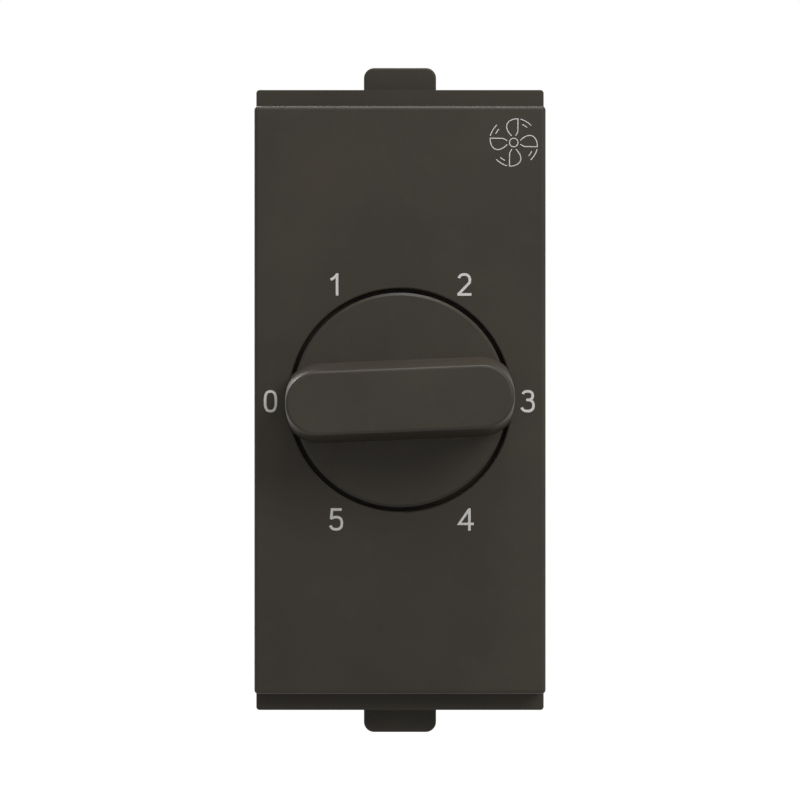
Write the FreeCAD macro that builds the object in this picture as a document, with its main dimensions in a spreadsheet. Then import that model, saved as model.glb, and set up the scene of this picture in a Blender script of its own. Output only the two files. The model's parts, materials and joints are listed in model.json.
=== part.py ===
import FreeCAD, Part
import math
import os
import re

import Sketcher

# Fan speed regulator for a one-module opening. X is right, Y goes back into the wall and Z is up.
# The origin is on the dial's axis, in the plane where the flange seats on the support frame.

doc = FreeCAD.newDocument("fan_speed_control_switch")
sheet = doc.addObject("Spreadsheet::Sheet", "Dimensions")

# Driving dimensions in millimetres and degrees
SIZES = {
    # front cover
    "face_width": 22.3,
    "face_height": 45.0,
    "face_proud": 4.4,
    "face_thickness": 1.4,
    "face_edge_radius": 0.3,
    "skirt_wall": 1.1,
    "hole_edge": 0.15,
    "ring_gap": 0.3,
    "pan_wall": 0.7,
    "pan_floor": 1.0,
    "hook_thickness": 1.0,
    "hook_width": 4.0,
    "hook_length": 5.6,
    "hook_catch": 0.8,
    "hook_nose": 2.5,
    "hook_land": 0.6,
    "hook_lead": 0.2,
    "hook_play": 0.1,
    "window_side_play": 0.3,
    # rear housing
    "flange_inset": 0.05,
    "flange_ledge": 1.45,
    "flange_thickness": 1.6,
    "flange_corner": 0.25,
    "housing_wall": 1.3,
    "rear_wall": 1.6,
    "rear_edge": 0.8,
    "tab_width": 5.65,
    "tab_height": 4.1,
    "tab_setback": 2.1,
    "tab_flat": 1.6,
    "tab_ramp": 4.6,
    "tab_corner": 0.8,
    "tab_edge": 0.15,
    "tongue_length": 9.6,
    "tongue_lip": 0.1,
    "slit_width": 0.7,
    "vent_width": 1.2,
    "vent_length": 9.0,
    "vent_pitch": 2.6,
    "vent_count": 4,
    "vent_from_board": 2.2,
    "guide_width": 1.0,
    "guide_height": 0.3,
    "guide_length": 12.0,
    "barrier_thickness": 1.2,
    "barrier_gap": 0.3,
    "board_rib_width": 1.6,
    "board_rib_overlap": 0.6,
    "board_rib_gap": 0.9,
    "boss_diameter": 4.2,
    "boss_end_gap": 0.5,
    "boss_gap": 0.2,
    # knob
    "disc_diameter": 16.4,
    "disc_thickness": 2.0,
    "disc_edge": 0.2,
    "disc_proud": 0.3,
    "disc_gap": 0.3,
    "handle_height": 9.5,
    "handle_setback": 0.03,
    "handle_width": 4.74,
    "handle_draft": 4.1,
    "handle_edge_radius": 0.25,
    "handle_tilt": 2.4,
    "core_side_wall": 1.07,
    "core_front_wall": 2.5,
    "core_wall": 1.2,
    "hub_wall": 1.26,
    "hub_gap": 0.5,
    "shaft_cover": 1.1,
    "clip_thickness": 0.3,
    "clip_width": 2.6,
    "clip_room": 0.4,
    "clip_bow": 0.12,
    # rotor and detent
    "shaft_diameter": 6.0,
    "shaft_flat_cut": 1.1,
    "shaft_fit": 0.04,
    "flat_play": 0.15,
    "wheel_rim": 0.9,
    "wheel_thickness": 2.0,
    "wheel_gap": 0.2,
    "notch_diameter": 1.8,
    "speed_step": 60.0,
    "step_count": 6,
    "lug_reach": 0.6,
    "lug_thickness": 1.2,
    "lug_half_angle": 14.5,
    "post_half_angle": 14.5,
    "post_space": 0.7,
    "rotor_boss_diameter": 4.4,
    "pivot_diameter": 2.4,
    "pivot_length": 1.8,
    "end_float": 0.2,
    "wiper_thickness": 0.3,
    "wiper_width": 2.0,
    "wiper_overhang": 0.8,
    "wiper_seat": 1.0,
    "wiper_rise": 1.0,
    "outer_dimple": 1.2,
    "inner_dimple": 0.8,
    "contact_gap": 0.05,
    "post_gap": 0.3,
    "spring_thickness": 0.3,
    "spring_width": 1.6,
    "spring_end_gap": 0.7,
    "spring_back_gap": 0.5,
    "spring_seat_width": 1.4,
    "nose_radius": 0.75,
    "nose_gap": 0.1,
    "nose_rise": 1.2,
    # rotary switch body
    "switch_setback": 2.9,
    "switch_side_gap": 0.6,
    "wheel_side_gap": 1.1,
    "switch_wall": 1.2,
    "switch_front_wall": 1.6,
    "base_thickness": 2.4,
    "foot_height": 1.1,
    "foot_width": 2.0,
    "foot_spread": 3.6,
    "rivet_diameter": 1.6,
    "rivet_head": 2.8,
    "rivet_head_height": 0.4,
    "rivet_post": 3.0,
    "rivet_margin": 1.6,
    "contact_head": 2.0,
    "contact_space": 0.8,
    "contact_height": 0.5,
    "tail_width": 1.2,
    "tail_thickness": 0.5,
    "pin_play": 0.1,
    "collector_space": 0.5,
    "collector_band": 1.1,
    "collector_height": 0.4,
    # circuit board and what it carries
    "board_play": 0.3,
    "board_end_play": 0.6,
    "board_thickness": 1.6,
    "lead_diameter": 0.7,
    "lead_reach": 0.3,
    "part_lift": 0.4,
    "board_screw_margin": 2.7,
    "board_screw_shank": 1.8,
    "board_screw_head": 3.4,
    "board_screw_head_height": 1.2,
    "board_screw_bevel": 0.4,
    "board_screw_slot": 0.45,
    "board_screw_slot_length": 2.4,
    "board_screw_slot_depth": 0.6,
    "board_screw_length": 6.0,
    "capacitor_inset": 0.5,
    "capacitor_rear_gap": 1.2,
    "capacitor_gap": 1.4,
    "large_capacitor_height": 9.4,
    "stack_gap": 0.5,
    "small_capacitor_depth": 11.0,
    "small_capacitor_height": 7.0,
    "capacitor_edge": 0.5,
    "capacitor_foot": 0.8,
    "capacitor_lead_inset": 1.2,
    "surge_diameter": 3.0,
    "surge_length": 9.0,
    "surge_lead_reach": 1.4,
    "surge_gap": 0.7,
    "surge_space": 0.3,
    "bleed_diameter": 2.0,
    "bleed_length": 5.6,
    "bleed_lead_reach": 1.4,
    "bleed_gap": 2.0,
    "bleed_space": 1.2,
    "resistor_cap": 1.4,
    "surge_waist": 2.6,
    "bleed_waist": 1.7,
    "resistor_slope": 0.5,
    # terminals
    "clamp_board_gap": 2.8,
    "clamp_floor_gap": 2.2,
    "clamp_barrier_gap": 1.1,
    "clamp_side_gap": 1.1,
    "clamp_width": 6.6,
    "clamp_height": 6.4,
    "clamp_wall": 1.0,
    "clamp_corner": 0.7,
    "clamp_nut": 1.4,
    "wire_gap": 4.5,
    "clamp_room": 0.3,
    "terminal_plate_thickness": 0.8,
    "terminal_plate_side_play": 0.2,
    "terminal_plate_overhang": 0.4,
    "shelf_gap": 1.6,
    "terminal_pin_width": 1.4,
    "terminal_play": 0.1,
    "terminal_screw_shank": 3.4,
    "terminal_screw_head": 5.4,
    "terminal_screw_head_height": 1.8,
    "terminal_screw_length": 5.4,
    "terminal_screw_float": 0.2,
    "terminal_screw_slot": 0.9,
    "terminal_screw_slot_depth": 0.9,
    "terminal_screw_bevel": 0.3,
    "terminal_screw_point": 0.4,
    "thread_play": 0.1,
    "screw_access_lip": 0.2,
    "access_bevel": 0.5,
    "wire_bevel": 0.5,
    # how far pads of one moulding reach into each other, and cuts past a surface
    "lap": 0.2,
}

# What follows from the driving dimensions. The housing and the switch are as large as what they hold.
PLACES = {
    # face and flange
    "face_front": "-face_proud",
    "face_under": "-face_proud + face_thickness",
    "cover_seat": "-flange_thickness",
    "flange_width": "face_width - 2 * flange_inset",
    "flange_height": "face_height + 2 * flange_ledge",
    # dial
    "dial_hole": "disc_diameter + 2 * ring_gap",
    "disc_front": "-face_proud - disc_proud",
    "disc_back": "disc_front + disc_thickness",
    "handle_front": "disc_front - handle_height",
    "handle_length": "dial_hole - 2 * handle_setback",
    "core_width": "handle_width - 2 * core_side_wall",
    "core_depth": "disc_thickness + handle_height - core_front_wall",
    "pan_front": "disc_back + disc_gap",
    "pan_back": "pan_front + pan_floor",
    "shaft_tip": "disc_front + shaft_cover",
    "shaft_bore": "shaft_diameter + 2 * shaft_fit",
    "shaft_flat": "shaft_diameter / 2 - shaft_flat_cut",
    "hub_diameter": "shaft_bore + 2 * hub_wall",
    "hub_back": "switch_setback - hub_gap",
    # rotary switch, from the rotor's boss outwards
    "collector_inner": "rotor_boss_diameter + 2 * collector_space",
    "collector_outer": "collector_inner + 2 * collector_band",
    "rotor_hub_diameter": "collector_outer",
    "post_inner": "collector_outer / 2 + post_space",
    "contact_radius": "collector_outer / 2 + contact_space + contact_head / 2",
    "lug_inner": "rotor_hub_diameter / 2 - lap",
    "lug_outer": "contact_radius + lug_reach",
    "wheel_diameter": "2 * (contact_radius + wheel_rim)",
    "nose_up": "wheel_diameter / 2 + nose_gap",
    "nose_side": "nose_radius - spring_thickness",
    "spring_back_up": "nose_up + nose_rise",
    "spring_half_length": "rivet_across - rivet_post / 2 - spring_end_gap",
    "switch_width": "wheel_diameter + 2 * wheel_side_gap + 2 * switch_wall",
    "switch_inner_up": "spring_back_up + spring_back_gap",
    "switch_height": "2 * (switch_inner_up + switch_wall)",
    "rivet_across": "switch_width / 2 - rivet_margin",
    "rivet_up": "switch_height / 2 - rivet_margin",
    # rotary switch and board, front to back
    "switch_inside": "switch_setback + switch_front_wall",
    "wheel_front": "switch_inside + wheel_gap",
    "wheel_back": "wheel_front + wheel_thickness",
    "lug_back": "wheel_back + lug_thickness",
    "wiper_front": "lug_back + wiper_seat",
    "contact_front": "wiper_front + wiper_thickness + wiper_rise",
    "switch_back": "contact_front + contact_height",
    "switch_depth": "switch_back - switch_setback",
    "collector_front": "switch_back - collector_height",
    "rotor_end": "switch_back - end_float",
    "base_back": "switch_back + base_thickness",
    "board_front": "base_back + foot_height",
    "board_back": "board_front + board_thickness",
    "tail_end": "board_back + lead_reach",
    # terminals, front to back
    "clamp_front": "board_back + clamp_board_gap",
    "wire_front": "clamp_front + clamp_wall",
    "plate_front": "wire_front + wire_gap",
    "plate_back": "plate_front + terminal_plate_thickness",
    "nut_front": "plate_back + clamp_room",
    "clamp_back": "nut_front + clamp_nut",
    "screw_tip": "plate_back + terminal_play",
    "screw_head_front": "screw_tip + terminal_screw_length",
    "screw_head_back": "screw_head_front + terminal_screw_head_height",
    "rear_inside": "screw_head_back + terminal_screw_float",
    "housing_depth": "rear_inside + rear_wall",
    # across: as wide as the switch or the row of terminals needs
    "switch_row": "switch_width / 2 + switch_side_gap",
    "terminal_row": "barrier_thickness / 2 + clamp_barrier_gap + clamp_width + clamp_side_gap",
    "inner_across": "max(switch_row, terminal_row)",
    "housing_width": "2 * (inner_across + housing_wall)",
    "hook_outer": "inner_across - hook_play",
    "hook_inner": "hook_outer - hook_thickness",
    "board_width": "2 * (inner_across - board_play)",
    "board_screw_across": "board_width / 2 - board_screw_margin",
    "capacitor_width": "board_width - 2 * capacitor_inset",
    "capacitor_lead_across": "capacitor_width / 2 - capacitor_lead_inset",
    "surge_lead_across": "surge_length / 2 + surge_lead_reach",
    "bleed_lead_across": "bleed_length / 2 + bleed_lead_reach",
    "terminal_across": "barrier_thickness / 2 + clamp_barrier_gap + clamp_width / 2",
    "clamp_inner_width": "clamp_width - 2 * clamp_wall",
    "terminal_plate_width": "clamp_inner_width - 2 * terminal_plate_side_play",
    "wire_window": "clamp_inner_width - 2 * terminal_play",
    "screw_access": "terminal_screw_head - 2 * screw_access_lip",
    # upwards: terminals, capacitors, surge resistors and screw bosses stand on each other
    "terminal_room": "clamp_floor_gap + clamp_height + shelf_gap + terminal_plate_thickness",
    "capacitor_room": "capacitor_gap + large_capacitor_height + stack_gap + small_capacitor_height",
    "surge_pitch": "surge_diameter + surge_space",
    "surge_room": "surge_gap + surge_pitch + surge_diameter",
    "boss_room": "boss_gap + boss_diameter + boss_end_gap",
    "inner_up": "(terminal_room + capacitor_room + surge_room + boss_room) / 2",
    "housing_height": "2 * (inner_up + housing_wall)",
    "board_height": "2 * (inner_up - board_end_play)",
    "board_screw_up": "inner_up - boss_end_gap - boss_diameter / 2",
    "terminal_down": "inner_up - clamp_floor_gap - clamp_height / 2",
    "plate_low": "-terminal_down - clamp_height / 2 - terminal_plate_overhang",
    "plate_high": "-inner_up + terminal_room",
    "large_capacitor_up": "plate_high + capacitor_gap + large_capacitor_height / 2",
    "small_capacitor_top": "plate_high + capacitor_room",
    "small_capacitor_up": "small_capacitor_top - small_capacitor_height / 2",
    "large_capacitor_depth": "rear_inside - board_back - part_lift - capacitor_rear_gap",
    "surge_up": "small_capacitor_top + surge_gap + surge_diameter / 2",
    "bleed_pitch": "bleed_diameter + bleed_space",
    "bleed_up": "switch_height / 2 + bleed_gap + bleed_diameter / 2",
    "low_rib": "plate_high - board_rib_width / 2",
    "high_rib": "small_capacitor_top + board_rib_gap + board_rib_width / 2",
    "hook_height": "(switch_height / 2 + inner_up) / 2",
    # hooks, tongues
    "catch_front": "hook_length - hook_nose",
    "slit_front": "tab_setback - tongue_lip - slit_width",
    "slit_back": "slit_front + slit_width + tongue_length",
}

VALUES = {**SIZES, **PLACES}
for row, name in enumerate(VALUES, 1):
    sheet.set(f"A{row}", name)
    sheet.setAlias(f"B{row}", name)
for row, formula in enumerate(VALUES.values(), 1):
    sheet.set(f"B{row}", f"={formula}")
doc.recompute()

WORD = re.compile(r"[a-z][a-z_]+")
# how near two places lie to count as one, in millimetres
CLOSE = 0.01


def tied(formula):
    """A formula in which every value points at its cell in the sheet."""

    def cell(found):
        word = found.group()
        return "Dimensions." + word if word in VALUES else word

    return WORD.sub(cell, str(formula))


def value(formula):
    """What a formula comes to, as a plain number."""
    return float(sheet.evalExpression(tied(formula)))


def new_body(name):
    body = doc.addObject("PartDesign::Body", name)
    body.Label = name
    return body


def new_sketch(body, plane, level="0"):
    """A sketch on one of the body's own planes, moved along that plane's normal."""
    sketch = body.newObject("Sketcher::SketchObject", body.Name + "_sketch")
    support = next(f for f in body.Origin.OriginFeatures if f.Role == plane)
    sketch.AttachmentSupport = (support, "")
    sketch.MapMode = "FlatFace"
    sketch.setExpression(".AttachmentOffset.Base.z", tied(level))
    return sketch


def front_sketch(body, depth):
    """A sketch seen from the front, at a distance back from the seat plane."""
    return new_sketch(body, "XZ_Plane", f"-({depth})")


def side_sketch(body, across="0"):
    return new_sketch(body, "YZ_Plane", across)


def top_sketch(body, up="0"):
    return new_sketch(body, "XY_Plane", up)


def bind(sketch, constraint, formula):
    """Adds a constraint whose size is a formula."""
    index = sketch.addConstraint(constraint)
    sketch.setExpression(f"Constraints[{index}]", tied(formula))


def point(place):
    return FreeCAD.Vector(value(place[0]), value(place[1]), 0)


def place_point(sketch, piece, end, place):
    bind(sketch, Sketcher.Constraint("DistanceX", -1, 1, piece, end, value(place[0])), place[0])
    bind(sketch, Sketcher.Constraint("DistanceY", -1, 1, piece, end, value(place[1])), place[1])


def outline(sketch, places):
    """A closed outline of straight lines through the places."""
    count = len(places)
    spots = [point(place) for place in places]
    first = sketch.GeometryCount
    for step in range(count):
        sketch.addGeometry(Part.LineSegment(spots[step], spots[(step + 1) % count]), False)
    for step in range(count):
        after = first + (step + 1) % count
        sketch.addConstraint(Sketcher.Constraint("Coincident", first + step, 2, after, 1))
        place_point(sketch, first + step, 1, places[step])


def rectangle(sketch, width, height, across="0", up="0"):
    """An upright rectangle about a centre."""
    left = f"({across}) - ({width}) / 2"
    right = f"({across}) + ({width}) / 2"
    low = f"({up}) - ({height}) / 2"
    high = f"({up}) + ({height}) / 2"
    outline(sketch, [(left, low), (right, low), (right, high), (left, high)])


def circle(sketch, diameter, across="0", up="0"):
    middle = point((across, up))
    radius = value(diameter) / 2
    piece = sketch.addGeometry(Part.Circle(middle, FreeCAD.Vector(0, 0, 1), radius), False)
    place_point(sketch, piece, 3, (across, up))
    bind(sketch, Sketcher.Constraint("Diameter", piece, 2 * radius), diameter)


def arc_outline(sketch, parts):
    """A closed outline of lines and arcs. Each part is a start, and for an arc also its centre and turn."""
    count = len(parts)
    first = sketch.GeometryCount
    starts = [point(part[0]) for part in parts]
    for step, part in enumerate(parts):
        start = starts[step]
        end = starts[(step + 1) % count]
        if len(part) == 1:
            sketch.addGeometry(Part.LineSegment(start, end), False)
            continue
        middle = point(part[1])
        low, high = (start, end) if part[2] > 0 else (end, start)
        low_angle = math.atan2(low.y - middle.y, low.x - middle.x)
        high_angle = math.atan2(high.y - middle.y, high.x - middle.x)
        ring = Part.Circle(middle, FreeCAD.Vector(0, 0, 1), (low - middle).Length)
        sketch.addGeometry(Part.ArcOfCircle(ring, low_angle, high_angle), False)

    def ends(step):
        part = parts[step]
        return (1, 2) if len(part) == 1 or part[2] > 0 else (2, 1)

    for step, part in enumerate(parts):
        after = (step + 1) % count
        joint = Sketcher.Constraint("Coincident", first + step, ends(step)[1], first + after, ends(after)[0])
        sketch.addConstraint(joint)
        place_point(sketch, first + step, ends(step)[0], part[0])
        if len(part) == 3:
            level = abs(starts[step].y - starts[after].y) < 1e-6
            way, reach = ("DistanceY", part[1][1]) if level else ("DistanceX", part[1][0])
            bind(sketch, Sketcher.Constraint(way, -1, 1, first + step, 3, value(reach)), reach)


def add_feature(body, kind, sketch, length, forward):
    """A pad or pocket. Forward is along the sketch's normal."""
    feature = body.newObject(kind, body.Name + "_feature")
    feature.Profile = sketch
    feature.setExpression("Length", tied(length))
    feature.Reversed = forward if kind == "PartDesign::Pocket" else not forward
    sketch.Visibility = False
    doc.recompute()
    return feature


def pad(body, sketch, length, forward=True):
    return add_feature(body, "PartDesign::Pad", sketch, length, forward)


def pocket(body, sketch, length, forward=False):
    """Cuts along the sketch's normal when forward, else against it. It has to take material away."""
    before = body.Shape.Volume
    feature = add_feature(body, "PartDesign::Pocket", sketch, length, forward)
    if body.Shape.Volume > before - 1e-6:
        raise RuntimeError(f"{feature.Name} of {body.Name} cuts nothing")
    return feature


def centred(feature):
    feature.SideType = "Symmetric"
    doc.recompute()
    return feature


def pad_back(body, depth, length, draw):
    """A pad from a depth back into the wall, from an outline seen from the front."""
    sketch = front_sketch(body, depth)
    draw(sketch)
    return pad(body, sketch, length, forward=False)


def pocket_back(body, depth, length, draw):
    sketch = front_sketch(body, depth)
    draw(sketch)
    return pocket(body, sketch, length, forward=False)


def edges_where(shape, test):
    """Names of the straight edges that a test of their middle and direction accepts."""
    names = []
    for number, edge in enumerate(shape.Edges, 1):
        if edge.Degenerated or edge.Curve.TypeId != "Part::GeomLine":
            continue
        middle = edge.valueAt((edge.FirstParameter + edge.LastParameter) / 2)
        if test(middle, edge.tangentAt(edge.FirstParameter)):
            names.append(f"Edge{number}")
    return names


def edges_at(shape, depth):
    """Names of the edges that lie flat at one depth."""
    level = value(depth)
    return [
        f"Edge{number}"
        for number, edge in enumerate(shape.Edges, 1)
        if abs(edge.BoundBox.YMin - level) < CLOSE and abs(edge.BoundBox.YMax - level) < CLOSE
    ]


def rims_at(shape, depth):
    """Names of the closed edges, such as the rims of round holes, at one depth."""

    def closed(edge):
        return edge.isClosed() and not edge.Degenerated

    return [name for name in edges_at(shape, depth) if closed(shape.getElement(name))]


def dress(body, kind, size, names):
    """A fillet or chamfer on named edges of the body's last feature."""
    feature = body.newObject(kind, body.Name + "_edge")
    feature.Base = (body.Tip if body.Tip != feature else feature.BaseFeature, names)
    which = "Radius" if kind == "PartDesign::Fillet" else "Size"
    feature.setExpression(which, tied(size))
    doc.recompute()
    return feature


def near(number, formula):
    return abs(number - value(formula)) < CLOSE


def along(direction, axis):
    return abs(abs(getattr(direction, axis)) - 1) < 1e-6


def polar(radius, angle):
    """A place at a radius and an angle, counted anticlockwise from the right as seen from the front."""
    return (f"({radius}) * cos({angle})", f"({radius}) * sin({angle})")


# Angles of the contacts, clockwise from the off position at the left, and of the gap that holds the stop
GAP_ANGLE = "180 + speed_step / 2"
CONTACT_ANGLES = [f"180 - {step} * speed_step" for step in range(1, int(value("step_count")))]


def front_cover():
    body = new_body("front_cover")
    depth = "face_proud - flange_thickness"
    pad_back(body, "face_front", depth, lambda s: rectangle(s, "face_width", "face_height"))
    rim = edges_where(body.Shape, lambda m, d: near(m.y, "face_front"))
    corners = edges_where(body.Shape, lambda m, d: along(d, "y"))
    dress(body, "PartDesign::Fillet", "face_edge_radius", rim + corners)
    inside = ("face_width - 2 * skirt_wall", "face_height - 2 * skirt_wall")
    pocket_back(body, "face_under", "cover_seat - (face_under)", lambda s: rectangle(s, *inside))
    pan = "dial_hole + 2 * pan_wall"
    pad_back(body, "face_under", "pan_back - (face_under)", lambda s: circle(s, pan))
    pocket_back(body, "face_front", "pan_front - (face_front)", lambda s: circle(s, "dial_hole"))
    dress(body, "PartDesign::Fillet", "hole_edge", rims_at(body.Shape, "face_front"))
    bush = "hub_diameter + 2 * ring_gap"
    pocket_back(body, "pan_front", "pan_floor", lambda s: circle(s, bush))

    # Snap hooks: arms that end in a nose with a square catch and a ramp
    sketch = top_sketch(body, "hook_height")
    outline(sketch, [
        ("hook_inner", "face_under"),
        ("hook_outer", "face_under"),
        ("hook_outer", "catch_front"),
        ("hook_outer + hook_catch", "catch_front"),
        ("hook_outer + hook_catch", "catch_front + hook_land"),
        ("hook_outer - hook_lead", "hook_length"),
        ("hook_inner", "hook_length"),
    ])
    hook = centred(pad(body, sketch, "hook_width"))
    pattern = body.newObject("PartDesign::MultiTransform", "hook_pairs")
    pattern.Originals = [hook]
    mirrors = []
    for role in ("YZ_Plane", "XY_Plane"):
        mirror = body.newObject("PartDesign::Mirrored", f"hook_mirror_{len(mirrors)}")
        plane = next(f for f in body.Origin.OriginFeatures if f.Role == role)
        mirror.MirrorPlane = (plane, [""])
        mirrors.append(mirror)
    pattern.Transformations = mirrors
    body.Tip = pattern
    doc.recompute()
    return body


def rear_housing():
    body = new_body("rear_housing")
    shell = ("housing_width", "housing_height")
    pad_back(body, "0", "housing_depth", lambda s: rectangle(s, *shell))
    corners = edges_where(body.Shape, lambda m, d: along(d, "y"))
    rear = edges_where(body.Shape, lambda m, d: near(m.y, "housing_depth"))
    dress(body, "PartDesign::Fillet", "rear_edge", corners + rear)
    pad_back(body, "cover_seat", "flange_thickness", lambda s: rectangle(s, "flange_width", "flange_height"))
    corners = edges_where(
        body.Shape, lambda m, d: along(d, "y") and near(abs(m.z), "flange_height / 2")
    )
    dress(body, "PartDesign::Fillet", "flange_corner", corners)

    # Holding tabs: an upright block with rounded tips, then a ramp cut behind its flat top
    def tabs(sketch):
        for side in (1, -1):
            half = "tab_width / 2"
            foot = f"{side} * (housing_height / 2 - housing_wall / 2)"
            tip = f"{side} * (housing_height / 2 + tab_height)"
            bend = f"{side} * (housing_height / 2 + tab_height - tab_corner)"
            arc_outline(sketch, [
                ((f"-({half})", foot),),
                ((half, foot),),
                ((half, bend), (f"{half} - tab_corner", bend), side),
                ((f"{half} - tab_corner", tip),),
                ((f"-({half} - tab_corner)", tip), (f"-({half} - tab_corner)", bend), side),
                ((f"-({half})", bend),),
            ])

    pad_back(body, "tab_setback", "tab_flat + tab_ramp", tabs)
    front = [name for name in edges_at(body.Shape, "tab_setback")
             if abs(body.Shape.getElement(name).CenterOfMass.z) > value("housing_height / 2") + CLOSE]
    dress(body, "PartDesign::Fillet", "tab_edge", front)
    for side in (1, -1):
        sketch = side_sketch(body)
        high = f"{side} * (housing_height / 2 + tab_height + lap)"
        outline(sketch, [
            ("tab_setback + tab_flat", f"{side} * (housing_height / 2 + tab_height)"),
            ("tab_setback + tab_flat + tab_ramp + lap", f"{side} * housing_height / 2"),
            ("tab_setback + tab_flat + tab_ramp + lap", high),
            ("tab_setback + tab_flat", high),
        ])
        centred(pocket(body, sketch, "tab_width + lap"))

    # Ribs that guide the housing into the frame's opening, between the vents and the hook windows
    def guides(sketch):
        for side in (1, -1):
            for end in (1, -1):
                rectangle(sketch, "guide_height + lap", "guide_width",
                          f"{side} * (housing_width / 2 + (guide_height - lap) / 2)",
                          f"{end} * (vent_length / 2 + hook_height) / 2")

    pad_back(body, "-lap", "guide_length + lap", guides)

    inside = ("2 * inner_across", "2 * inner_up")
    pocket_back(body, "cover_seat", "rear_inside - (cover_seat)", lambda s: rectangle(s, *inside))

    # U-shaped slits that free the tongues under the tabs
    sketch = top_sketch(body)
    outer = "tab_width / 2 + slit_width"
    outline(sketch, [
        (f"-({outer})", "slit_front"),
        (outer, "slit_front"),
        (outer, "slit_back"),
        ("tab_width / 2", "slit_back"),
        ("tab_width / 2", "slit_front + slit_width"),
        ("-tab_width / 2", "slit_front + slit_width"),
        ("-tab_width / 2", "slit_back"),
        (f"-({outer})", "slit_back"),
    ])
    centred(pocket(body, sketch, "housing_height + lap"))

    # Windows for the cover's snap hooks, and vents beside the capacitors
    sketch = side_sketch(body)
    for side in (1, -1):
        rectangle(sketch, "hook_length - catch_front + hook_play", "hook_width + 2 * window_side_play",
                  "(hook_length + catch_front + hook_play) / 2", f"{side} * hook_height")
    centred(pocket(body, sketch, "housing_width + lap"))
    sketch = side_sketch(body)
    rectangle(sketch, "vent_width", "vent_length", "board_back + vent_from_board")
    vent = centred(pocket(body, sketch, "housing_width + lap"))
    vents = body.newObject("PartDesign::LinearPattern", "side_vents")
    vents.Originals = [vent]
    vents.Direction = (sketch, ["H_Axis"])
    vents.setExpression("Occurrences", tied("vent_count"))
    vents.setExpression("Length", tied("vent_pitch * (vent_count - 1)"))
    body.Tip = vents
    doc.recompute()

    # Slots through the top wall, where warm air leaves
    sketch = top_sketch(body, "housing_height / 2 + lap")
    rectangle(sketch, "vent_width", "vent_length", "-vent_pitch * (vent_count - 1) / 2",
              "(board_back + rear_inside) / 2")
    vent = pocket(body, sketch, "housing_wall + 2 * lap")
    vents = body.newObject("PartDesign::LinearPattern", "top_vents")
    vents.Originals = [vent]
    vents.Direction = (sketch, ["H_Axis"])
    vents.setExpression("Occurrences", tied("vent_count"))
    vents.setExpression("Length", tied("vent_pitch * (vent_count - 1)"))
    body.Tip = vents
    doc.recompute()

    # Wire windows in the bottom wall and screwdriver holes in the rear wall
    sketch = top_sketch(body, "-(inner_up) + lap")
    for side in (1, -1):
        rectangle(sketch, "wire_window", "plate_front - (wire_front) - terminal_play",
                  f"{side} * terminal_across", "(plate_front + wire_front + terminal_play) / 2")
    pocket(body, sketch, "housing_wall + 2 * lap")
    mouths = edges_where(body.Shape, lambda m, d: near(m.z, "-housing_height / 2")
                         and value("wire_front") < m.y < value("plate_front"))
    dress(body, "PartDesign::Chamfer", "wire_bevel", mouths)

    def access(sketch):
        for side in (1, -1):
            circle(sketch, "screw_access", f"{side} * terminal_across", "-terminal_down")

    pocket_back(body, "rear_inside - lap", "rear_wall + 2 * lap", access)
    dress(body, "PartDesign::Chamfer", "access_bevel", rims_at(body.Shape, "housing_depth"))

    # Wall between the terminals
    high = "plate_high - terminal_plate_thickness - barrier_gap"
    low = "-(inner_up) - lap"
    barrier = ("barrier_thickness", f"({high}) - ({low})", "0", f"(({high}) + ({low})) / 2")
    pad_back(body, "board_back + barrier_gap", "rear_inside - (board_back) - barrier_gap + lap",
             lambda s: rectangle(s, *barrier))

    # Ribs that carry the board's edges, and bosses for its screws
    def ribs(sketch):
        reach = "(inner_across - board_width / 2 + board_rib_overlap + lap)"
        for side in (1, -1):
            for up in ("low_rib", "high_rib"):
                middle = f"{side} * (inner_across + lap - {reach} / 2)"
                rectangle(sketch, reach, "board_rib_width", middle, up)

    def bosses(sketch):
        for side in (1, -1):
            circle(sketch, "boss_diameter", f"{side} * board_screw_across", "board_screw_up")

    def pilots(sketch):
        for side in (1, -1):
            circle(sketch, "board_screw_shank", f"{side} * board_screw_across", "board_screw_up")

    pad_back(body, "board_back", "rear_inside - (board_back) + lap", ribs)
    pad_back(body, "board_back", "rear_inside - (board_back) + lap", bosses)
    pocket_back(body, "board_back", "board_screw_length", pilots)
    return body


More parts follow.
